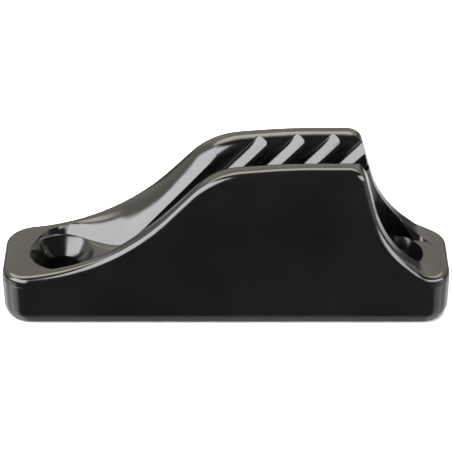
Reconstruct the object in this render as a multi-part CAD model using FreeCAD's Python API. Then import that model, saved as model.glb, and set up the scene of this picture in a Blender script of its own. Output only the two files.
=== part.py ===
import FreeCAD, Part
import math
import os

from FreeCAD import Vector

# Moulded V-groove jam cleat for 3 to 6 mm line.
# The real thing is one nylon moulding. Its regions are modelled as separate solids that meet
# face to face: a base, two screw pads, two cheeks, the channel web and two rows of teeth.
#
# Frame: millimetres, +Z up, origin under the middle of the mounting face.
# +X points to the steep end, where the free tail of the line leaves. -X is the loaded end.
# The cleat is the same on both sides of the XZ plane.

# --- Driving dimensions -----------------------------------------------------------------

LENGTH = 65.0                # along X, at the mould's parting line
WIDTH = 15.2                 # along Y, at the parting line
CORNER_RADIUS = 4.15         # plan corners of the flange
PARTING_Z = 6.35             # height of the mould's parting line
BASE_TAPER = 0.15            # how far the base narrows, each side, from parting line to bottom
BOTTOM_ROUND = 1.0           # rounded lower edge
SIDE_DRAFT = 3.07            # degrees, lean of the cheeks' outer faces
RIM_ROUND = 1.0              # rounded outer edge of the rims and of the flange
ENVELOPE_TOP = 27.0          # above everything

FLANGE_Z = 7.65              # top of the flange and floor of the entry

# Side outline of the cheeks: a polyline whose corners are rounded, (x, z, radius).
OUTLINE = [
    (-18.0, FLANGE_Z, 33.0),     # foot of the long concave slope
    (-2.1, 24.36, 11.0),         # shoulder
    (9.0, 25.315, 90.0),         # crown of the plateau
    (19.3, 25.315, 2.4),         # top corner at the tail end
    (22.5, 13.1, 16.0),          # hollow of the steep end
    (29.1, FLANGE_Z, 5.0),       # where it dies into the flange
]
OUTLINE_OVERRUN = 12.0           # how far the outline runs on past each end of the flange

# Screw holes
LOAD_HOLE_X = -24.0
TAIL_HOLE_X = 24.2
BORE_RADIUS = 2.65           # clearance for a 5 mm screw
HEAD_RADIUS = 4.6            # countersink at the floor
SINK_HALF_ANGLE = 41.0       # degrees, for an 82 degree head

# V groove, half section: root, straight wall, rounded lip
ROOT_Z = 11.35
GROOVE_LEAN = 0.143          # half width gained for each mm of height
LIP_START_Z = 23.60          # where the wall turns into the lip, at the tail end
LIP_START_Y = 2.944
LIP_RADIUS = 2.0
PLATEAU_RISE = 0.04          # the lip falls this much for each mm towards the loaded end

# Teeth: slanting ribs between scooped recesses, in both groove walls. Places along the wall
# are measured where the 45 degree slant would meet the flange's level.
TOOTH_PITCH = 5.13
TOOTH_COUNT = 6
FIRST_CREST = -13.5
RIB_DEPTH = 0.5              # thickness of the ribs' own layer of the wall
RIB_LEAD = 2.1               # the layer starts this far before the first crest
RIB_TOP_Z = 24.2
SCOOP_STEEP = (0.65, 0.93)   # (distance past the crest, depth) at the foot of the steep face
SCOOP_FLOOR = (0.90, 1.08)
SCOOP_LOW = (1.15, 1.04)     # where the ramp starts
SCOOP_HIGH = (2.95, 0.13)    # where it eases off
SCOOP_LENGTH = 4.2
SCOOP_OPEN = 0.5             # how far the cutter reaches out into the groove

# Entry chute: its foot on the floor narrows to the groove, then climbs as a ramp
CHUTE_RAMP = 1.064           # rise of the ramp's edge for each mm of X
CHUTE_FOOT_X = -14.9         # where the ramp's edge leaves the floor
CHUTE_STEEPNESS = 60.0       # degrees, lower part of the chute's sides
CHUTE_NECK = 0.9             # half width of the foot where the ramp starts
CHUTE_SPREAD = 0.217         # the foot widens by this times (distance) ** 1.5
CHUTE_SPREAD_START = 0.6     # from this far inside the ramp's start
CHUTE_MOST = 5.0             # half width of the pocket round the screw hole
CHUTE_FLARE = 0.5            # extra half width at the ramp's start
CHUTE_FLARE_LENGTH = 4.0
EDGE_LEAST = 0.6             # least half width of the ramp's edge
LIP_FLAT = 1.1               # rim left standing outside the chute
CREST_OVER = 0.12            # the chute's sides end this far above the rim's surface
CREST_EASE = 0.05            # and bend into that level from this far below
CREST_RUN = 0.3              # over at least this width
POCKET_STATIONS = [-28.5, -26, -24, -22, -20, -18, -16, CHUTE_FOOT_X]
RAMP_STATIONS = [CHUTE_FOOT_X, -12, -9, -6, -3, -1, 0.6]

# The web falls from the groove's root to the flange between these at the tail end
TAIL_RAMP_START = 15.0
TAIL_RAMP_END = 19.0

# Where the moulding is divided into regions
PAD_LOAD_X = -19.0
PAD_TAIL_X = 19.3
WEB_HALF_WIDTH = 1.6

TOUCH = 0.01                 # overlap given to cutters, so that no skin is left
LEAST_VOLUME = 0.05          # anything smaller is a cutting crumb


# --- Helpers ----------------------------------------------------------------------------

def rounded_rectangle(inset, z):
    """Closed wire of the plan outline at height z, drawn in by inset all round."""
    half_x = LENGTH / 2 - inset
    half_y = WIDTH / 2 - inset
    radius = CORNER_RADIUS - inset
    arcs = []
    corners = [(1, 1), (-1, 1), (-1, -1), (1, -1)]
    for quarter, (sx, sy) in enumerate(corners):
        centre = Vector(sx * (half_x - radius), sy * (half_y - radius), z)
        start = 90 * quarter
        arcs.append(Part.makeCircle(radius, centre, Vector(0, 0, 1), start, start + 90))
    ring = []
    for arc, following in zip(arcs, arcs[1:] + arcs[:1]):
        ring.append(arc)
        ring.append(Part.makeLine(arc.Vertexes[-1].Point, following.Vertexes[0].Point))
    return Part.Wire(ring)


def rounded_polyline(points, y):
    """Edges, in the plane at y, through (x, z, radius) points with rounded corners."""
    def at(point):
        return Vector(point[0], y, point[1])
    edges = []
    last = at(points[0])
    for before, here, after in zip(points, points[1:], points[2:]):
        corner = at(here)
        back = (at(before) - corner).normalize()
        on = (at(after) - corner).normalize()
        half = math.acos(max(-1.0, min(1.0, back.dot(on)))) / 2
        reach = here[2] / math.tan(half)
        first = corner + back * reach
        final = corner + on * reach
        towards = (back + on).normalize()
        middle = corner + towards * (here[2] / math.sin(half) - here[2])
        edges.append(Part.makeLine(last, first))
        edges.append(Part.Arc(first, middle, final).toShape())
        last = final
    edges.append(Part.makeLine(last, at(points[-1])))
    return edges


def box(x0, x1, y0, y1, z0, z1):
    return Part.makeBox(x1 - x0, y1 - y0, z1 - z0, Vector(x0, y0, z0))


def mirrored(shape):
    return shape.mirror(Vector(0, 0, 0), Vector(0, 1, 0))


def groove_half_width(z):
    return LIP_START_Y - GROOVE_LEAN * (LIP_START_Z - z)


def rim_height(x):
    """Height of the cheeks' outline at x."""
    line = Part.makeLine(Vector(x, 0, FLANGE_Z - 0.5), Vector(x, 0, ENVELOPE_TOP))
    hits = [v.Z for e in OUTLINE_EDGES for v in e.section(line).Vertexes]
    return max(hits + [FLANGE_Z])


def outer_half_width(z):
    return WIDTH / 2 - (z - PARTING_Z) * math.tan(math.radians(SIDE_DRAFT))


# --- Outer body -------------------------------------------------------------------------

def make_base():
    """The part below the parting line, with a rounded lower edge."""
    low = rounded_rectangle(BASE_TAPER, 0)
    high = rounded_rectangle(0, PARTING_Z)
    solid = Part.makeLoft([low, high], True, True)
    bottom = [e for e in solid.Edges if e.BoundBox.ZMax < 0.001]
    return solid.makeFillet(BOTTOM_ROUND, bottom)


def outline_edges():
    reach = LENGTH / 2 + OUTLINE_OVERRUN
    ends = [(-reach, FLANGE_Z, 0)] + OUTLINE + [(reach, FLANGE_Z, 0)]
    return rounded_polyline(ends, 0)


def make_upper():
    """Flange and cheeks above the parting line, before the groove is cut."""
    rise = ENVELOPE_TOP - PARTING_Z
    inset = rise * math.tan(math.radians(SIDE_DRAFT))
    low = rounded_rectangle(0, PARTING_Z)
    high = rounded_rectangle(inset, ENVELOPE_TOP)
    envelope = Part.makeLoft([low, high], True, True)
    edges = [e.translated(Vector(0, -WIDTH, 0)) for e in OUTLINE_EDGES]
    start = edges[0].Vertexes[0].Point
    end = edges[-1].Vertexes[-1].Point
    below = PARTING_Z - 1
    corners = [end, Vector(end.x, end.y, below), Vector(start.x, start.y, below), start]
    closing = [Part.makeLine(a, b) for a, b in zip(corners, corners[1:])]
    face = Part.Face(Part.Wire(edges + closing))
    prism = face.extrude(Vector(0, 2 * WIDTH, 0))
    body = envelope.common(prism)
    rims = [e for e in body.Edges if is_rim_edge(e)]
    return body.makeFillet(RIM_ROUND, rims)


def is_rim_edge(edge):
    """Whether an edge runs round the outside of the top surface."""
    box_ = edge.BoundBox
    if box_.ZMin < FLANGE_Z - 0.01:
        return False
    crosses = box_.YMin < -1 and box_.YMax > 1
    at_end = abs(box_.XMin) > LENGTH / 2 - 1
    return at_end or not crosses


# --- Cutters ----------------------------------------------------------------------------

def make_groove():
    """V groove with rounded lips, running the whole length along the plateau's rise."""
    x0 = -LENGTH
    drop = PLATEAU_RISE * (OUTLINE[3][0] - x0)
    turn = math.pi / 2 - math.atan(GROOVE_LEAN)
    lip_y = LIP_START_Y + LIP_RADIUS * math.sin(turn)
    lip_z = LIP_START_Z + LIP_RADIUS * (1 - math.cos(turn))
    mid_y = lip_y - LIP_RADIUS * math.sin(turn / 2)
    mid_z = lip_z - LIP_RADIUS * (1 - math.cos(turn / 2))
    root_y = groove_half_width(ROOT_Z)
    above = ENVELOPE_TOP + drop

    def at(y, z):
        return Vector(x0, y, z - drop)
    half = [
        Part.makeLine(at(0, ROOT_Z), at(root_y, ROOT_Z)),
        Part.makeLine(at(root_y, ROOT_Z), at(LIP_START_Y, LIP_START_Z)),
        Part.Arc(at(LIP_START_Y, LIP_START_Z), at(mid_y, mid_z), at(lip_y, lip_z)).toShape(),
        Part.makeLine(at(lip_y, lip_z), at(lip_y, above)),
        Part.makeLine(at(lip_y, above), at(0, above)),
        Part.makeLine(at(0, above), at(0, ROOT_Z)),
    ]
    face = Part.Face(Part.Wire(half))
    solid = face.extrude(Vector(2 * LENGTH, 0, 2 * LENGTH * PLATEAU_RISE))
    keep = box(CHUTE_FOOT_X, LENGTH, 0, WIDTH, ROOT_Z, ENVELOPE_TOP + 1)
    solid = solid.common(keep)
    return solid.fuse(mirrored(solid)).removeSplitter()


def chute_foot(x):
    """Half width and height of the chute's lower edge at x."""
    if x < CHUTE_FOOT_X:
        spread = CHUTE_SPREAD * (CHUTE_FOOT_X + CHUTE_SPREAD_START - x) ** 1.5
        return min(CHUTE_NECK + spread, CHUTE_MOST), FLANGE_Z
    z = FLANGE_Z + CHUTE_RAMP * (x - CHUTE_FOOT_X)
    flare = CHUTE_FLARE * max(0.0, 1 - (x - CHUTE_FOOT_X) / CHUTE_FLARE_LENGTH) ** 2
    return max(groove_half_width(z), EDGE_LEAST) + flare, z


def chute_section(x):
    """Closed wire of the chute's section at x, open to the top."""
    top = rim_height(x)
    edge_y = outer_half_width(top) - LIP_FLAT
    foot_y, foot_z = chute_foot(x)
    crest_z = top + CREST_OVER
    bend_z = crest_z - CREST_EASE
    bend_y = foot_y + (crest_z - foot_z) / math.tan(math.radians(CHUTE_STEEPNESS))
    bend_y = min(bend_y, edge_y - CREST_RUN)
    above = ENVELOPE_TOP + 1

    def side(sign):
        curve = Part.BezierCurve()
        curve.setPoles([
            Vector(x, sign * foot_y, foot_z),
            Vector(x, sign * bend_y, bend_z),
            Vector(x, sign * edge_y, crest_z),
        ])
        return curve.toShape()
    corners = [Vector(x, edge_y, crest_z), Vector(x, edge_y, above),
               Vector(x, -edge_y, above), Vector(x, -edge_y, crest_z)]
    over = [Part.makeLine(a, b) for a, b in zip(corners, corners[1:])]
    foot = Part.makeLine(Vector(x, -foot_y, foot_z), Vector(x, foot_y, foot_z))
    return Part.Wire([side(1)] + over + [side(-1), foot])


def make_chute():
    """Entry at the loaded end, where the line is led down into the groove."""
    return [Part.makeLoft([chute_section(x) for x in stations], True, False)
            for stations in (POCKET_STATIONS, RAMP_STATIONS)]


def make_tail_ramp():
    """The web falls away to the flange at the tail end."""
    half = groove_half_width(ROOT_Z)
    over = ROOT_Z + TOUCH
    profile = [(TAIL_RAMP_START, ROOT_Z), (TAIL_RAMP_END, FLANGE_Z), (LENGTH / 2, FLANGE_Z),
               (LENGTH / 2, over), (TAIL_RAMP_START, over), (TAIL_RAMP_START, ROOT_Z)]
    wire = Part.makePolygon([Vector(x, -half, z) for x, z in profile])
    return Part.Face(wire).extrude(Vector(0, 2 * half, 0))


def make_screw_hole(x):
    """Bore, countersink and the clear way above it."""
    depth = (HEAD_RADIUS - BORE_RADIUS) / math.tan(math.radians(SINK_HALF_ANGLE))
    bore = Part.makeCylinder(BORE_RADIUS, FLANGE_Z + 1, Vector(x, 0, -1))
    sink = Part.makeCone(BORE_RADIUS, HEAD_RADIUS, depth, Vector(x, 0, FLANGE_Z - depth))
    way = Part.makeCylinder(HEAD_RADIUS, ENVELOPE_TOP, Vector(x, 0, FLANGE_Z))
    return bore.fuse(sink).fuse(way)


def slanted(points, z0, z1):
    """Solid of a plan outline, (x at flange level, depth into the rear wall), led up at 45 degrees."""
    y0 = groove_half_width(z0)
    rise = z1 - z0
    base = [Vector(x + z0 - FLANGE_Z, y0 + depth, z0) for x, depth in points]
    face = Part.Face(Part.makePolygon(base + base[:1]))
    return face.extrude(Vector(rise, GROOVE_LEAN * rise, rise))


def scoop(crest):
    """Recess behind one crest: a steep face, a hollow, and a ramp up to the next rib."""
    z0 = ROOT_Z - 1
    y0 = groove_half_width(z0)
    x0 = crest + z0 - FLANGE_Z

    def at(along, depth):
        return Vector(x0 + along, y0 + depth, z0)
    path = [(0, -SCOOP_OPEN), (0, 0), SCOOP_STEEP]
    edges = [Part.makeLine(at(*a), at(*b)) for a, b in zip(path, path[1:])]
    edges.append(Part.Arc(at(*SCOOP_STEEP), at(*SCOOP_FLOOR), at(*SCOOP_LOW)).toShape())
    path = [SCOOP_LOW, SCOOP_HIGH, (SCOOP_LENGTH, 0), (SCOOP_LENGTH, -SCOOP_OPEN), (0, -SCOOP_OPEN)]
    edges += [Part.makeLine(at(*a), at(*b)) for a, b in zip(path, path[1:])]
    rise = ENVELOPE_TOP - z0
    return Part.Face(Part.Wire(edges)).extrude(Vector(rise, GROOVE_LEAN * rise, rise))


# --- Regions ----------------------------------------------------------------------------

OUTLINE_EDGES = outline_edges()
GROOVE = make_groove()
CHUTES = make_chute()
HOLES = [make_screw_hole(LOAD_HOLE_X), make_screw_hole(TAIL_HOLE_X)]


def make_body():
    """Everything above the parting line, with groove, chute and screw holes cut."""
    body = make_upper()
    for cutter in [GROOVE] + CHUTES + [make_tail_ramp()] + HOLES:
        body = body.cut(cutter)
    return body


def make_rear_teeth(body, cheek_zone):
    """Tooth ribs of the rear wall and the cheek behind them, as two shapes."""
    crests = [FIRST_CREST + TOOTH_PITCH * i for i in range(TOOTH_COUNT)]
    start = FIRST_CREST - RIB_LEAD
    end = crests[-1] + TOUCH
    slab = slanted([(start, -TOUCH), (end, -TOUCH), (end, RIB_DEPTH), (start, RIB_DEPTH)],
                   ROOT_Z, RIB_TOP_Z)
    cheek = body.common(cheek_zone)
    ribs = cheek.common(slab)
    cheek = cheek.cut(slab)
    for crest in crests:
        cutter = scoop(crest)
        ribs = ribs.cut(cutter)
        cheek = cheek.cut(cutter)
    return ribs, cheek


def save(shape, node):
    solids = [s for s in shape.Solids if s.Volume > LEAST_VOLUME]
    out = solids[0] if len(solids) == 1 else Part.makeCompound(solids)
    out.exportStep("parts/" + node + ".step")
    print(node, "solids", len(solids), "volume", round(out.Volume, 1), "valid", out.isValid())


def main():
    os.makedirs("parts", exist_ok=True)
    body = make_body()
    base = make_base()
    for hole in HOLES:
        base = base.cut(hole)
    top = ENVELOPE_TOP + 1
    half = LENGTH / 2 + 1
    load_zone = box(-half, PAD_LOAD_X, -WIDTH, WIDTH, 0, top)
    tail_zone = box(PAD_TAIL_X, half, -WIDTH, WIDTH, 0, top)
    web_zone = box(PAD_LOAD_X, PAD_TAIL_X, -WEB_HALF_WIDTH, WEB_HALF_WIDTH, 0, ROOT_Z)
    rear_zone = box(PAD_LOAD_X, PAD_TAIL_X, 0, WIDTH, 0, top).cut(web_zone)
    ribs, cheek = make_rear_teeth(body, rear_zone)
    save(base, "base_flange")
    save(body.common(load_zone), "load_end_pad")
    save(body.common(tail_zone), "tail_end_pad")
    save(body.common(web_zone), "channel_web")
    save(cheek, "rear_cheek")
    save(mirrored(cheek), "front_cheek")
    save(ribs, "rear_teeth")
    save(mirrored(ribs), "front_teeth")


main()
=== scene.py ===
import math

import bpy
import bmesh
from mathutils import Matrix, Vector


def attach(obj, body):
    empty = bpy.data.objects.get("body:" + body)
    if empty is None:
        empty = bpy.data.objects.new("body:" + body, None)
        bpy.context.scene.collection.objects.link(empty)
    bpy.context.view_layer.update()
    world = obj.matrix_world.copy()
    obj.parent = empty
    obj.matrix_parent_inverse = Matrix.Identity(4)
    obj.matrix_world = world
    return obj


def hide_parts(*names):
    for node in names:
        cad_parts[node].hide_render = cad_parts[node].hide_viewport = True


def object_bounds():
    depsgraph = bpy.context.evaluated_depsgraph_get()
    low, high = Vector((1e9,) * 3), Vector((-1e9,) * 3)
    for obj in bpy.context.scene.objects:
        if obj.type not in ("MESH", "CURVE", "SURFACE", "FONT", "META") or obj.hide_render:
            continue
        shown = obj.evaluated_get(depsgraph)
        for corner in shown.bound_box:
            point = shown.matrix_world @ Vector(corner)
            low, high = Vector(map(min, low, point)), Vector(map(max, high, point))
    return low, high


# Moulded V-groove jam cleat, one continuous moulding in gloss black nylon.
# Lengths in this file are millimetres until a mesh is made, where MM turns them into metres.
# +X is the steep end, where the free tail of the line leaves. Both sides of y = 0 are alike.

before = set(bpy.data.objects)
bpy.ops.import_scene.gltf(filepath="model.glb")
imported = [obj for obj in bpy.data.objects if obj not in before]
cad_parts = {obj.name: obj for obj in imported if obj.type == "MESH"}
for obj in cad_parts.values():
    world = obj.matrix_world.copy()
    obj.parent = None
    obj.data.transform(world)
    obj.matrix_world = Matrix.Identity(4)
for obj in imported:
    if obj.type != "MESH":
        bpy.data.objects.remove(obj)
cad_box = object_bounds()

MM = 0.001

# --- Driving dimensions, as in the CAD part -------------------------------------------------

LENGTH = 65.0
WIDTH = 15.2
CORNER_RADIUS = 4.15
PARTING_Z = 6.35
PARTING_STEP = 0.03          # how far the upper half of the moulding stands in from the lower
BASE_TAPER = 0.15            # how far the base narrows, each side, on its way to the bottom
BEVEL_TOP = 1.45             # the lower edge is bevelled from this height down,
BEVEL_INSET = 0.55           # reaches in this far,
FOOT_INSET = 1.0             # and has turned into the flat underside here
BEVEL_WEIGHT = 1.5           # above 1 keeps the bevel's turn tight
SIDE_DRAFT = math.radians(3.07)
RIM_ROUND = 1.0
FLANGE_Z = 7.65

# Side outline of the cheeks: a polyline with rounded corners, (x, z, radius)
OUTLINE = [
    (-18.0, FLANGE_Z, 33.0),
    (-2.1, 24.36, 11.0),
    (9.0, 25.315, 90.0),
    (19.3, 25.315, 2.4),
    (22.5, 13.1, 16.0),
    (29.1, FLANGE_Z, 5.0),
]
PLATEAU_RISE = 0.04          # gentle rise of the groove's lip towards the tail end
OUTLINE_OVERRUN = 12         # how far the outline runs on past each end of the flange
STATION_STEP = 0.25          # spacing of the sections along the outline
ARC_STEP = math.radians(5)   # and the most that they turn in a tight curve

LOAD_HOLE_X = -24.0
TAIL_HOLE_X = 24.2
BORE_RADIUS = 2.65
HEAD_RADIUS = 4.6
SINK_HALF_ANGLE = math.radians(41.0)

ROOT_Z = 11.35
GROOVE_LEAN = 0.143
WALL_ANGLE = math.pi / 2 - math.atan(GROOVE_LEAN)
LIP_RADIUS = 2.0
LIP_DROP = LIP_RADIUS * math.sin(WALL_ANGLE) * math.tan(WALL_ANGLE / 2)
LIP_WIDTH = LIP_RADIUS * math.sin(WALL_ANGLE)
WALL_REFERENCE = (2.97, 23.785)   # (half width, height) of a point of the groove wall

# Teeth: slanting recesses in both walls of the groove. Places along the wall are given at the
# flange's level; the recesses lean by 45 degrees from there.
TOOTH_PITCH = 5.13
TOOTH_COUNT = 6
FIRST_CREST = -13.5
SCOOP_DEPTH = 1.1
SCOOP_LENGTH = 4.2

# Loaded end: a pocket round the screw hole, a flat floor, and a ramp up into the groove
PAD_X = -16.0                    # where the flat entry floor gives way to the ramp
CHUTE_RAMP = 1.064               # rise of the ramp for each millimetre of X
CHUTE_FOOT_X = -15.05
CHUTE_FOOT_ROUND = 1.4           # how gently the floor turns up into the ramp
CHUTE_ANGLE = math.radians(58)   # slope of the chute's sides at their lower edge
CHUTE_STEEPENS = (-4, 0.6)       # where they steepen into the groove's walls
POCKET_CENTRE_X = -25.2          # the pocket starts as half an ellipse
POCKET_REACH = 3.1
POCKET_HALF_WIDTH = 5.7
POCKET_OPENS = (-24, -16)        # where its side moves out to the rim
POCKET_STEEPENS = (-26, -20)     # and turns from a straight slope into a hollow one
LIP_FORMS = (-7, 0.5)            # where the chute's side gives way to the groove's lip

# Half width of that pocket's floor
NECK = (-15.7, 1.3)              # (x, half width) where it starts to widen
NECK_SLOPE = 0.25                # widening for each millimetre towards the loaded end
NECK_CURVE = 0.11                # and for each millimetre to the power 1.5
FLOOR_MOST = 5.2                 # half width that it comes near to
FLOOR_EASE = 0.7                 # how gently
WALL_EASE = 0.35                 # how gently the floor's edge turns into the groove's wall
FLOOR_RING = HEAD_RADIUS + 0.45  # its radius round the screw hole
FLOOR_ENDS_X = -8                # past here the lower edge is the groove wall's own

# Tail end
TAIL_RAMP = (15.0, 19.0)         # where the web falls from the groove's root to the flange
EXIT_X = 12                      # from here the steep outline may cut through the lip
TAIL_POCKET_X = 25.4             # the pocket round the screw hole ends as half an ellipse
TAIL_POCKET_REACH = 5.4
TAIL_POCKET_HALF_WIDTH = 4.57
TAIL_POCKET_SLOPE = 0.8          # run of its sides for each millimetre of height
TAIL_POCKET_LEAST = 0.4          # least share of the width that is floor

# All sections have the same number of points, so none of their strips may vanish.
FLAT_SECTION = (0.12, 0.11, 0.1, 0.05)   # half widths of the points of a section with no groove
SLIVER = 0.02                            # least width of a strip
ROOT_SLIVER = 0.05                       # and of the wall below the ramp's edge
LIP_SLIVER = 0.03                        # least height of the lip at the steep end


# --- Small helpers ---------------------------------------------------------------------------

def lerp(a, b, t):
    return a + (b - a) * t


def smooth(x, low, high):
    """0 below low, 1 above high, with a smooth change between."""
    t = max(0.0, min(1.0, (x - low) / (high - low)))
    return t * t * (3 - 2 * t)


def mix_point(a, b, t):
    return (lerp(a[0], b[0], t), lerp(a[1], b[1], t))


def arc_curve(start, corner, end, weight, count):
    """Points of a conic from start to end whose tangents meet at corner, without its start."""
    points = []
    for i in range(1, count + 1):
        t = i / count
        a = (1 - t) ** 2
        b = 2 * weight * t * (1 - t)
        c = t * t
        total = a + b + c
        points.append(tuple((a * s + b * m + c * e) / total for s, m, e in zip(start, corner, end)))
    return points


def mesh_object(name, vertices, faces):
    mesh = bpy.data.meshes.new(name)
    mesh.from_pydata([Vector(v) * MM for v in vertices], [], faces)
    mesh.update()
    obj = bpy.data.objects.new(name, mesh)
    bpy.context.scene.collection.objects.link(obj)
    return obj


# --- Outline and groove as functions ---------------------------------------------------------

def outline_stations():
    """(x, z, nx, nz) along the outline: place and outward normal in the side view."""
    reach = LENGTH / 2 + OUTLINE_OVERRUN
    points = [(-reach, FLANGE_Z, 0)] + OUTLINE + [(reach, FLANGE_Z, 0)]
    stations = []

    def add_line(a, b):
        along = b - a
        steps = max(1, round(along.length / STATION_STEP))
        normal = Vector((-along.y, along.x)).normalized()
        for i in range(steps):
            p = a + along * (i / steps)
            stations.append((p.x, p.y, normal.x, normal.y))

    last = Vector(points[0][:2])
    for before, here, after in zip(points, points[1:], points[2:]):
        corner = Vector(here[:2])
        radius = here[2]
        back = (Vector(before[:2]) - corner).normalized()
        onward = (Vector(after[:2]) - corner).normalized()
        half = back.angle(onward) / 2
        first = corner + back * (radius / math.tan(half))
        final = corner + onward * (radius / math.tan(half))
        centre = corner + (back + onward).normalized() * (radius / math.sin(half))
        add_line(last, first)
        turn = math.pi - 2 * half
        steps = max(round(turn / ARC_STEP), round(turn * radius / STATION_STEP))
        convex = 1 if centre.y < corner.y else -1
        spoke = first - centre
        for i in range(steps):
            angle = -convex * turn * i / steps
            c, s = math.cos(angle), math.sin(angle)
            arm = Vector((c * spoke.x - s * spoke.y, s * spoke.x + c * spoke.y))
            p = centre + arm
            normal = arm.normalized() * convex
            stations.append((p.x, p.y, normal.x, normal.y))
        last = final
    add_line(last, Vector(points[-1][:2]))
    return stations


def draft_inset(z):
    """How far the outer face of the upper half stands in from the parting outline at height z."""
    return PARTING_STEP + (z - PARTING_Z) * math.tan(SIDE_DRAFT)


def rim_centre_inset(z, nz):
    """Inset of the centre of the rim's rounding under an outline point at height z."""
    return draft_inset(z - RIM_ROUND * nz) + RIM_ROUND / math.cos(SIDE_DRAFT)


def wall_y(z):
    """Half width of the groove at height z."""
    return WALL_REFERENCE[0] - GROOVE_LEAN * (WALL_REFERENCE[1] - z)


def plateau_z(x):
    """The line that the groove's lip keeps to at the tail end."""
    x1, z1, _ = OUTLINE[3]
    return z1 + PLATEAU_RISE * min(0.0, x - x1)


def ramp_z(x):
    """Height of the chute's lower edge: the floor, turning smoothly up into the ramp."""
    run = x - CHUTE_FOOT_X
    return FLANGE_Z + CHUTE_RAMP * (run + math.hypot(run, CHUTE_FOOT_ROUND)) / 2


def root_z(x):
    """Height of the middle of the channel."""
    fall = lerp(ROOT_Z, FLANGE_Z, (x - TAIL_RAMP[0]) / (TAIL_RAMP[1] - TAIL_RAMP[0]))
    return max(FLANGE_Z, min(ROOT_Z, ramp_z(x), fall))


def foot_y(x):
    """Half width of the pocket and the chute at their lower edge."""
    neck_x, neck_y = NECK
    beyond = neck_x - x
    spread = neck_y + NECK_SLOPE * beyond + NECK_CURVE * max(0.0, beyond) ** 1.5
    spread = (spread + FLOOR_MOST - math.hypot(spread - FLOOR_MOST, FLOOR_EASE)) / 2
    if x < LOAD_HOLE_X:
        inside = FLOOR_RING * FLOOR_RING - (x - LOAD_HOLE_X) ** 2
        spread = min(spread, math.sqrt(max(0.0, inside)))
    wall = wall_y(ramp_z(x))
    return (spread + wall + math.hypot(spread - wall, WALL_EASE)) / 2


# --- Sections --------------------------------------------------------------------------------

FLAT_COLUMNS = 3
CURVE_COLUMNS = 16
WALL_COLUMNS = 14
ROOT_COLUMNS = 4


def inner_section(x, z, rim_y):
    """(y, z) points from the inner edge of the rim's rounding to the middle, on the +y side.

    Each kind of section gives four of them: the knee, where the flat rim ends; the corner and
    the edge, which shape and end the curve that follows; and the root, at the foot of the wall.
    """
    start = (rim_y, z)
    if x < PAD_X:
        knee, corner, edge, root = pocket_section(x, z, rim_y)
    elif x < EXIT_X:
        knee, corner, edge, root = chute_section(x, z, rim_y)
    elif x < TAIL_POCKET_X:
        knee, corner, edge, root = exit_section(x, z)
    else:
        knee, corner, edge, root = tail_pocket_section(x, z)
    turn = chute_angle(x)
    points = [start]
    points += [mix_point(start, knee, i / FLAT_COLUMNS) for i in range(1, FLAT_COLUMNS + 1)]
    points += arc_curve(knee, corner, edge, math.cos(turn / 2), CURVE_COLUMNS)
    points += [mix_point(edge, root, i / WALL_COLUMNS) for i in range(1, WALL_COLUMNS + 1)]
    middle = (0.0, root[1])
    points += [mix_point(root, middle, i / ROOT_COLUMNS) for i in range(1, ROOT_COLUMNS + 1)]
    return points


def flat_section(z):
    """Plain flange, with no groove."""
    return [(y, z) for y in FLAT_SECTION]


def pocket_section(x, z, rim_y):
    """Entry end: rim, pocket or chute side, flat floor."""
    u = (x - POCKET_CENTRE_X) / POCKET_REACH
    if u <= -1:
        return flat_section(z)
    if u < 0:
        knee_y = POCKET_HALF_WIDTH * math.sqrt(1 - u * u)
    else:
        knee_y = lerp(POCKET_HALF_WIDTH, rim_y - SLIVER, smooth(x, *POCKET_OPENS))
    knee_y = max(knee_y, FLAT_SECTION[0])
    foot = min(foot_y(x), knee_y - SLIVER)
    floor = ramp_z(x)
    edge = (foot, floor)
    knee = (knee_y, z)
    steep = (min(foot + (z - floor) / math.tan(CHUTE_ANGLE), knee_y), z)
    straight = mix_point(knee, edge, 0.5)
    corner = mix_point(straight, steep, smooth(x, *POCKET_STEEPENS))
    root = (min(wall_y(floor), foot / 2), floor)
    return knee, corner, edge, root


def chute_angle(x):
    """Slope of the chute's or the groove's side."""
    return lerp(CHUTE_ANGLE, WALL_ANGLE, smooth(x, *CHUTE_STEEPENS))


def chute_section(x, z, rim_y):
    """Slope and plateau: chute side or lip, groove wall, root."""
    edge_z = min(ramp_z(x), z - LIP_DROP)
    on_floor = edge_z < z - LIP_DROP and x < FLOOR_ENDS_X
    edge_y = foot_y(x) if on_floor else wall_y(edge_z)
    outer_y = rim_y - SLIVER
    knee_y = lerp(outer_y, min(edge_y + LIP_WIDTH, outer_y), smooth(x, *LIP_FORMS))
    corner = (min(edge_y + (z - edge_z) / math.tan(chute_angle(x)), knee_y), z)
    low = root_z(x)
    root = (min(wall_y(low), edge_y - ROOT_SLIVER), min(low, edge_z))
    return (knee_y, z), corner, (edge_y, edge_z), root


def exit_section(x, z):
    """Tail end: the lip keeps to the plateau's line and the steep outline cuts through it."""
    top = plateau_z(x)
    start_z = top - LIP_DROP
    low = root_z(x)
    if z > start_z + LIP_SLIVER:
        edge = (wall_y(start_z), start_z)
        centre = (edge[0] + LIP_WIDTH, top - LIP_RADIUS)
        rise = min(1.0, (z - centre[1]) / LIP_RADIUS)
        knee = (centre[0] - LIP_RADIUS * math.sqrt(max(0.0, 1 - rise * rise)), z)
        swing = math.acos(rise)
        reach = LIP_RADIUS * math.tan((WALL_ANGLE - swing) / 2)
        corner = (knee[0] - reach * math.cos(swing), knee[1] - reach * math.sin(swing))
    else:
        sunk = min(LIP_SLIVER / 2, max(0.0, z - low) / 2)
        knee = (wall_y(z), z)
        edge = (knee[0] - SLIVER / 2, z - sunk)
        corner = mix_point(knee, edge, 0.5)
    root = (min(wall_y(low), edge[0] - SLIVER), min(low, edge[1]))
    return knee, corner, edge, root


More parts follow.
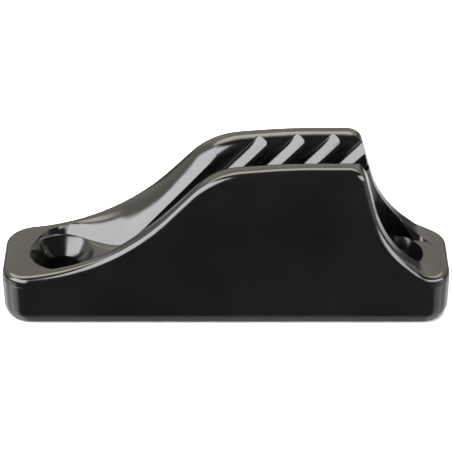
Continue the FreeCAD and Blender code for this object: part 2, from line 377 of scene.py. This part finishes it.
def tail_pocket_section(x, z):
    """Foot of the steep end: flat floor with sloping sides, closing behind the screw hole."""
    u = (x - TAIL_POCKET_X) / TAIL_POCKET_REACH
    if u >= 1:
        return flat_section(z)
    knee_y = max(TAIL_POCKET_HALF_WIDTH * math.sqrt(1 - u * u), FLAT_SECTION[0])
    slope_y = knee_y - TAIL_POCKET_SLOPE * (z - FLANGE_Z)
    edge_y = max(slope_y, TAIL_POCKET_LEAST * knee_y) - SLIVER / 2
    knee = (knee_y, z)
    edge = (edge_y, min(z, FLANGE_Z))
    return knee, mix_point(knee, edge, 0.5), edge, (edge_y / 2, edge[1])


ROUND_COLUMNS = 10
FACE_COLUMNS = 12
BASE_COLUMNS = 8
BOTTOM_COLUMNS = 10
CORNER_STEPS = 14            # sections round a plan corner of the flange
POCKET_STEPS = 14            # sections of the half ellipse that starts the pocket,
POCKET_STEP = 6.5            # this many degrees apart
SECTION_GAP = 0.05           # plain sections keep this far from a corner or that ellipse
POCKET_EDGE = 0.005          # but for one, this far before it


def skirt_profile(x, z, nx, nz):
    """(dx, inset, z) points from the rim's inner edge outwards and down to the flat underside."""
    centre_inset = rim_centre_inset(z, nz)
    points = []
    for i in range(1, ROUND_COLUMNS + 1):
        phi = lerp(math.pi / 2, SIDE_DRAFT, i / ROUND_COLUMNS)
        drop = RIM_ROUND * (1 - math.sin(phi))
        inset = centre_inset - RIM_ROUND * math.cos(phi)
        points.append((-drop * nx, inset, z - drop * nz))
    dx, _, foot = points[-1]
    points[-1] = (dx, draft_inset(foot), foot)
    for i in range(1, FACE_COLUMNS + 1):
        t = i / FACE_COLUMNS
        height = lerp(foot, PARTING_Z, t)
        points.append((dx * (1 - t), draft_inset(height), height))
    points.append((0, 0, PARTING_Z - PARTING_STEP))
    for i in range(1, BASE_COLUMNS + 1):
        height = lerp(PARTING_Z - PARTING_STEP, BEVEL_TOP, i / BASE_COLUMNS)
        points.append((0, BASE_TAPER * (1 - height / PARTING_Z), height))
    corner = (0, BEVEL_INSET, 0)
    end = (0, FOOT_INSET, 0)
    return points + arc_curve(points[-1], corner, end, BEVEL_WEIGHT, BOTTOM_COLUMNS)


def body_stations():
    """Sections as (x, z, nx, nz, theta); theta is the plan angle round a rounded corner, or None."""
    straight = LENGTH / 2 - CORNER_RADIUS
    source = outline_stations()
    middle = [s + (None,) for s in source if abs(s[0]) < straight - SECTION_GAP]
    xs = [s[0] for s in source]

    def on_outline(x):
        i = next(k for k, value in enumerate(xs) if value > x)
        a, b = source[i - 1], source[i]
        t = (x - a[0]) / (b[0] - a[0])
        return tuple(lerp(p, q, t) for p, q in zip(a, b))

    ends = {}
    for side in (-1, 1):
        rows = []
        for k in range(CORNER_STEPS + 1):
            theta = math.pi / 2 * (1 - k / CORNER_STEPS)
            x = side * straight
            for _ in range(3):
                _, z, _, nz = on_outline(x)
                radius = CORNER_RADIUS - rim_centre_inset(z, nz)
                x = side * (straight + radius * math.cos(theta))
            rows.append(on_outline(x) + (theta,))
        ends[side] = rows
    pocket_start = POCKET_CENTRE_X - POCKET_REACH
    pocket = [on_outline(pocket_start - POCKET_EDGE) + (None,)]
    for k in range(1, POCKET_STEPS):
        angle = math.radians(POCKET_STEP * k)
        pocket.append(on_outline(POCKET_CENTRE_X - POCKET_REACH * math.cos(angle)) + (None,))
    before = [s for s in middle if s[0] < pocket_start - SECTION_GAP]
    after = [s for s in middle if s[0] > POCKET_CENTRE_X + SECTION_GAP]
    return ends[-1][::-1] + before + pocket + after + ends[1]


def make_body():
    """Top grid, skirt all round and underside grid, as one closed mesh."""
    stations = body_stations()
    straight = LENGTH / 2 - CORNER_RADIUS
    side_y = WIDTH / 2 - CORNER_RADIUS
    vertices = []
    faces = []
    top = []
    for x, z, nx, nz, theta in stations:
        inset = rim_centre_inset(z, nz)
        rim_y = WIDTH / 2 - inset
        if theta is not None:
            rim_y = side_y + (CORNER_RADIUS - inset) * math.sin(theta)
        half = inner_section(x, z, rim_y)
        row = [(x, -y, h) for y, h in half[:-1]] + [(x, y, h) for y, h in half[::-1]]
        top.append(list(range(len(vertices), len(vertices) + len(row))))
        vertices += row
    columns = len(top[0])
    last = len(stations) - 1
    loop = [(i, 0) for i in range(last + 1)]
    loop += [(last, j) for j in range(1, columns)]
    loop += [(i, columns - 1) for i in range(last - 1, -1, -1)]
    loop += [(0, j) for j in range(columns - 2, 0, -1)]

    def skirt_point(i, j, dx, inset, height):
        x, _, _, _, theta = stations[i]
        end = 1 if x > 0 else -1
        if i in (0, last):
            y = vertices[top[i][j]][1]
            return (end * (LENGTH / 2 - inset), y, height)
        side = -1 if j == 0 else 1
        if theta is None:
            return (x + dx, side * (WIDTH / 2 - inset), height)
        radius = CORNER_RADIUS - inset
        return (end * (straight + radius * math.cos(theta)) + dx,
                side * (side_y + radius * math.sin(theta)), height)

    rings = []
    for i, j in loop:
        x, z, nx, nz, _ = stations[i]
        ring = [top[i][j]]
        for dx, inset, height in skirt_profile(x, z, nx, nz):
            ring.append(len(vertices))
            vertices.append(skirt_point(i, j, dx, inset, height))
        rings.append(ring)
    for a, b in zip(rings, rings[1:] + rings[:1]):
        for k in range(len(a) - 1):
            faces.append((a[k], a[k + 1], b[k + 1], b[k]))
    place = {key: ring[-1] for key, ring in zip(loop, rings)}
    bottom = []
    for i in range(last + 1):
        if i in (0, last):
            bottom.append([place[(i, j)] for j in range(columns)])
            continue
        front = Vector(vertices[place[(i, 0)]])
        rear = Vector(vertices[place[(i, columns - 1)]])
        edge_y = vertices[top[i][0]][1]
        row = [place[(i, 0)]]
        for j in range(1, columns - 1):
            t = (vertices[top[i][j]][1] - edge_y) / (-2 * edge_y)
            row.append(len(vertices))
            vertices.append(tuple(front.lerp(rear, t)))
        row.append(place[(i, columns - 1)])
        bottom.append(row)
    for i in range(last):
        for j in range(columns - 1):
            a, b = top[i], top[i + 1]
            faces.append((a[j], b[j], b[j + 1], a[j + 1]))
            a, b = bottom[i], bottom[i + 1]
            faces.append((a[j], a[j + 1], b[j + 1], b[j]))
    return mesh_object("moulding", vertices, faces)


# --- Cutters ---------------------------------------------------------------------------------

HOLE_SEGMENTS = 128
RIM_SOFTNESS = 0.14              # how far inside the cone's mouth its rounding starts
RIM_OUT = 0.12                   # and how far outside and above it ends
RIM_UP = 0.1
BORE_EDGE = (0.03, 0.1)          # width and height of the break at the top of the bore
CUT_BELOW = -1.0
CUT_ABOVE = 30.0


def make_hole_cutter(x):
    """Bore, countersink with a softened rim, and the way down for the screw head."""
    depth = (HEAD_RADIUS - BORE_RADIUS) / math.tan(SINK_HALF_ANGLE)
    cone_top = (HEAD_RADIUS - RIM_SOFTNESS, FLANGE_Z - RIM_SOFTNESS / math.tan(SINK_HALF_ANGLE))
    corner = (HEAD_RADIUS, FLANGE_Z)
    rim = (HEAD_RADIUS + RIM_OUT, FLANGE_Z + RIM_UP)
    profile = [
        (BORE_RADIUS, CUT_BELOW),
        (BORE_RADIUS, FLANGE_Z - depth - BORE_EDGE[1]),
        (BORE_RADIUS + BORE_EDGE[0], FLANGE_Z - depth),
        cone_top,
    ]
    profile += arc_curve(cone_top, corner, rim, 0.9, 4)
    profile.append((rim[0], CUT_ABOVE))
    vertices = []
    faces = []
    for r, z in profile:
        for k in range(HOLE_SEGMENTS):
            angle = 2 * math.pi * k / HOLE_SEGMENTS
            vertices.append((x + r * math.cos(angle), r * math.sin(angle), z))
    for row in range(len(profile) - 1):
        for k in range(HOLE_SEGMENTS):
            a = row * HOLE_SEGMENTS + k
            b = row * HOLE_SEGMENTS + (k + 1) % HOLE_SEGMENTS
            faces.append((a, b, b + HOLE_SEGMENTS, a + HOLE_SEGMENTS))
    faces.append(tuple(range(HOLE_SEGMENTS))[::-1])
    start = (len(profile) - 1) * HOLE_SEGMENTS
    faces.append(tuple(range(start, start + HOLE_SEGMENTS)))
    return mesh_object("hole_cutter", vertices, faces)


# Plan of a recess, as (along the wall, into the wall) from its crest
SCOOP_OUTSIDE = -0.8                     # how far the cutter reaches out into the groove
CREST_START = (-0.16, -0.01)             # where the crest's rounding starts
CREST_SHARE = 0.16                       # and the share of the steep face that it takes up
STEEP_FOOT = (0.65, 0.85 * SCOOP_DEPTH)
HOLLOW = (0.85, 1.15 * SCOOP_DEPTH)
RAMP_FOOT = (1.15, 0.95 * SCOOP_DEPTH)
RAMP_HEAD = (0.7 * SCOOP_LENGTH, 0.12 * SCOOP_DEPTH)
RAMP_FADE = (0.78 * SCOOP_LENGTH, 0.0)
SCOOP_HEIGHTS = (ROOT_Z + 0.25, 27.5)    # heights of the cutter's two ends


def make_scoop_cutter(crest, side):
    """Recess behind one crest: steep face, hollow floor, and a ramp out to the next rib."""
    crest_top = (0.0, 0.0)
    tip = (SCOOP_LENGTH, 0.0)
    plan = [(CREST_START[0], SCOOP_OUTSIDE), CREST_START]
    plan += arc_curve(CREST_START, crest_top, mix_point(crest_top, STEEP_FOOT, CREST_SHARE), 0.8, 4)
    plan += [mix_point(crest_top, STEEP_FOOT, t) for t in (0.5, 1.0)]
    plan += arc_curve(STEEP_FOOT, HOLLOW, RAMP_FOOT, 0.8, 5)
    plan += [mix_point(RAMP_FOOT, RAMP_HEAD, t) for t in (0.25, 0.5, 0.75, 1.0)]
    plan += arc_curve(RAMP_HEAD, RAMP_FADE, tip, 0.9, 6)
    plan.append((SCOOP_LENGTH, SCOOP_OUTSIDE))
    vertices = []
    for z in SCOOP_HEIGHTS:
        for along, depth in plan:
            vertices.append((crest + along + z - FLANGE_Z, side * (wall_y(z) + depth), z))
    count = len(plan)
    faces = [tuple(range(count)), tuple(range(count, 2 * count))[::-1]]
    for k in range(count):
        n = (k + 1) % count
        faces.append((k, k + count, n + count, n))
    return mesh_object("scoop_cutter", vertices, faces)


def cut(body, cutters):
    """Take the cutters out of the body, and remove them."""
    for cutter in cutters:
        mesh = bmesh.new()
        mesh.from_mesh(cutter.data)
        bmesh.ops.recalc_face_normals(mesh, faces=mesh.faces)
        mesh.to_mesh(cutter.data)
        mesh.free()
    group = bpy.data.collections.new("cutters")
    bpy.context.scene.collection.children.link(group)
    for cutter in cutters:
        group.objects.link(cutter)
    modifier = body.modifiers.new("cut", "BOOLEAN")
    modifier.operation = "DIFFERENCE"
    modifier.operand_type = "COLLECTION"
    modifier.collection = group
    modifier.solver = "MANIFOLD"
    graph = bpy.context.evaluated_depsgraph_get()
    result = bpy.data.meshes.new_from_object(body.evaluated_get(graph))
    body.modifiers.clear()
    body.data = result
    for cutter in cutters:
        bpy.data.objects.remove(cutter)
    bpy.data.collections.remove(group)


# --- Material --------------------------------------------------------------------------------

# Scales are per metre and distances in metres: (scale, detail) or (scale, detail, strength, distance)
SMUDGES = (160, 5)
SMUDGE_RANGE = (0.35, 0.7)       # noise between these gives the roughness between those below
ROUGHNESS = (0.11, 0.2)
TINTING = (90, 4)
TINTS = [(0.3, (0.0015, 0.0015, 0.0017, 1)), (0.8, (0.004, 0.0037, 0.0037, 1))]
WAVINESS = (350, 2, 0.25, 0.0001)
GRAIN = (6000, 3, 0.12, 0.00002)


def make_plastic():
    """Gloss black nylon: fine moulding texture, slight waviness, light scuffs."""
    material = bpy.data.materials.new("gloss_plastic")
    material.use_nodes = True
    nodes = material.node_tree.nodes
    links = material.node_tree.links
    shader = nodes["Principled BSDF"]
    shader.inputs["IOR"].default_value = 1.5
    place = nodes.new("ShaderNodeTexCoord")

    def noise(scale, detail):
        node = nodes.new("ShaderNodeTexNoise")
        node.inputs["Scale"].default_value = scale
        node.inputs["Detail"].default_value = detail
        links.new(place.outputs["Object"], node.inputs["Vector"])
        return node

    def bump(scale, detail, strength, distance):
        node = nodes.new("ShaderNodeBump")
        node.inputs["Strength"].default_value = strength
        node.inputs["Distance"].default_value = distance
        links.new(noise(scale, detail).outputs["Fac"], node.inputs["Height"])
        return node

    spread = nodes.new("ShaderNodeMapRange")
    spread.inputs["From Min"].default_value, spread.inputs["From Max"].default_value = SMUDGE_RANGE
    spread.inputs["To Min"].default_value, spread.inputs["To Max"].default_value = ROUGHNESS
    links.new(noise(*SMUDGES).outputs["Fac"], spread.inputs["Value"])
    links.new(spread.outputs["Result"], shader.inputs["Roughness"])

    tint = nodes.new("ShaderNodeValToRGB")
    for element, (position, colour) in zip(tint.color_ramp.elements, TINTS):
        element.position = position
        element.color = colour
    links.new(noise(*TINTING).outputs["Fac"], tint.inputs["Fac"])
    links.new(tint.outputs["Color"], shader.inputs["Base Color"])

    wave = bump(*WAVINESS)
    grain = bump(*GRAIN)
    links.new(wave.outputs["Normal"], grain.inputs["Normal"])
    links.new(grain.outputs["Normal"], shader.inputs["Normal"])
    return material


# --- Camera, light and floor -----------------------------------------------------------------

FOCAL_LENGTH = 187.0             # millimetres, on a sensor 36 mm wide
CAMERA_RISE = math.radians(32.28)
CAMERA_DISTANCE = 0.3417         # metres, like all lengths from here on
CAMERA_TARGET = Vector((0, 0, 0.01035))
CAMERA_SHIFT = 0.0241            # share of the picture's width
FLOOR_SIZE = 3.0
FLOOR_GAP = 0.0002               # the floor lies this far under the part
LAMP_PLACE = Vector((0, 0.1, 1.6))
LAMP_SIZE = 1.6
LAMP_POWER = 12


def make_camera():
    """Long lens, square on to the front and looking down."""
    data = bpy.data.cameras.new("camera")
    data.lens = FOCAL_LENGTH
    data.sensor_width = 36.0
    data.shift_y = CAMERA_SHIFT
    data.clip_start = 0.01
    data.clip_end = 20
    camera = bpy.data.objects.new("camera", data)
    bpy.context.scene.collection.objects.link(camera)
    back = Vector((0, -math.cos(CAMERA_RISE), math.sin(CAMERA_RISE)))
    camera.location = CAMERA_TARGET + CAMERA_DISTANCE * back
    camera.rotation_euler = (math.pi / 2 - CAMERA_RISE, 0, 0)
    bpy.context.scene.camera = camera


# Patches of light round the part: (level, azimuth from, to, elevation from, to, softness).
# Azimuth 0 is straight behind, 90 is to the right and 180 in front, in degrees.
WARM_PATCHES = [
    (1.3, -95, 95, 8, 90, 8),        # pale backdrop
    (6.4, -80, 80, 42, 76, 6),       # its bright upper part
]
COOL_PATCHES = [
    (12.0, -158, -93, 7, 50, 5),     # softbox, front left
    (10.0, 93, 146, -4, 22, 5),      # softbox, front right
    (1.2, -100, -45, -80, -12, 20),  # pale floor at the left
    (1.8, -124, -85, -80, -12, 5),
    (0.8, 45, 100, -80, -12, 20),    # and at the right
    (1.0, 85, 124, -80, -12, 5),
    (0.9, -60, 60, -80, -8, 8),      # and behind
    (0.8, -200, -110, -100, -52, 4),  # and close in front
    (0.8, 110, 200, -100, -52, 4),
]
WARM = (1.0, 0.955, 0.80, 1)
COOL = (0.97, 0.97, 1.0, 1)
ROOM_LEVEL = 0.09


def make_world():
    """A dark room with soft patches of light."""
    world = bpy.data.worlds.new("studio")
    bpy.context.scene.world = world
    world.use_nodes = True
    nodes = world.node_tree.nodes
    links = world.node_tree.links
    place = nodes.new("ShaderNodeTexCoord")
    split = nodes.new("ShaderNodeSeparateXYZ")
    links.new(place.outputs["Generated"], split.inputs["Vector"])

    def math_node(operation, *values):
        node = nodes.new("ShaderNodeMath")
        node.operation = operation
        for socket, value in zip(node.inputs, values):
            if isinstance(value, (int, float)):
                socket.default_value = value
            else:
                links.new(value, socket)
        return node.outputs[0]

    def edge(value, start, end):
        node = nodes.new("ShaderNodeMapRange")
        node.interpolation_type = "SMOOTHSTEP"
        node.inputs["From Min"].default_value = start
        node.inputs["From Max"].default_value = end
        links.new(value, node.inputs["Value"])
        return node.outputs["Result"]

    azimuth = math_node("ARCTAN2", split.outputs["X"], split.outputs["Y"])
    azimuth = math_node("DEGREES", azimuth)
    elevation = math_node("DEGREES", math_node("ARCSINE", split.outputs["Z"]))

    def fill(background, patches, colour, total):
        for level, left, right, low, high, soft in patches:
            patch = math_node("MULTIPLY", edge(azimuth, left - soft, left + soft), level)
            patch = math_node("MULTIPLY", patch, edge(azimuth, right + soft, right - soft))
            patch = math_node("MULTIPLY", patch, edge(elevation, low - soft, low + soft))
            patch = math_node("MULTIPLY", patch, edge(elevation, high + soft, high - soft))
            total = math_node("ADD", total, patch)
        background.inputs["Color"].default_value = colour
        links.new(total, background.inputs["Strength"])

    both = nodes.new("ShaderNodeAddShader")
    cool = nodes.new("ShaderNodeBackground")
    fill(nodes["Background"], WARM_PATCHES, WARM, 0.0)
    fill(cool, COOL_PATCHES, COOL, ROOM_LEVEL)
    links.new(nodes["Background"].outputs[0], both.inputs[0])
    links.new(cool.outputs[0], both.inputs[1])
    links.new(both.outputs[0], nodes["World Output"].inputs["Surface"])


def make_lamp():
    """Broad light overhead that only the floor and the matt part of the plastic show."""
    data = bpy.data.lights.new("top_light", "AREA")
    data.shape = "RECTANGLE"
    data.size = LAMP_SIZE
    data.size_y = LAMP_SIZE
    data.energy = LAMP_POWER
    lamp = bpy.data.objects.new("top_light", data)
    bpy.context.scene.collection.objects.link(lamp)
    lamp.location = LAMP_PLACE
    lamp.rotation_euler = (Vector((0, 0, 0)) - LAMP_PLACE).to_track_quat("-Z", "Y").to_euler()
    lamp.visible_camera = False
    lamp.visible_glossy = False


def make_floor():
    """Plain pale floor, which the plastic doesn't mirror."""
    size = FLOOR_SIZE
    low = cad_box[0].z - FLOOR_GAP
    corners = [(-size, -size, low), (size, -size, low), (size, size, low), (-size, size, low)]
    mesh = bpy.data.meshes.new("floor")
    mesh.from_pydata(corners, [], [(0, 1, 2, 3)])
    floor = bpy.data.objects.new("floor", mesh)
    bpy.context.scene.collection.objects.link(floor)
    material = bpy.data.materials.new("pale_floor")
    material.use_nodes = True
    shader = material.node_tree.nodes["Principled BSDF"]
    shader.inputs["Base Color"].default_value = (0.9, 0.9, 0.9, 1)
    shader.inputs["Roughness"].default_value = 1.0
    shader.inputs["Specular IOR Level"].default_value = 0.0
    mesh.materials.append(material)
    floor.visible_glossy = False


# --- Assembly --------------------------------------------------------------------------------

WELD = 0.000002                  # points closer than this are made one
SHORTEST = 0.000001              # and shorter edges are taken out
SHARP_FROM = math.radians(24)    # edges that turn by more stay sharp


def finish_mesh(body):
    """Clean the cut mesh, and shade it smooth between sharp edges."""
    mesh = bmesh.new()
    mesh.from_mesh(body.data)
    bmesh.ops.remove_doubles(mesh, verts=mesh.verts, dist=WELD)
    bmesh.ops.dissolve_degenerate(mesh, edges=mesh.edges, dist=SHORTEST)
    bmesh.ops.recalc_face_normals(mesh, faces=mesh.faces)
    mesh.to_mesh(body.data)
    mesh.free()
    for polygon in body.data.polygons:
        polygon.use_smooth = True
    body.data.set_sharp_from_angle(angle=SHARP_FROM)


body = make_body()
cutters = [make_hole_cutter(LOAD_HOLE_X), make_hole_cutter(TAIL_HOLE_X)]
for index in range(TOOTH_COUNT):
    for side in (-1, 1):
        cutters.append(make_scoop_cutter(FIRST_CREST + TOOTH_PITCH * index, side))
cut(body, cutters)
finish_mesh(body)
body.data.materials.clear()
body.data.materials.append(make_plastic())
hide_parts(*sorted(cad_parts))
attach(body, "root")

make_camera()
make_world()
make_lamp()
make_floor()
bpy.context.scene.view_settings.view_transform = "Standard"
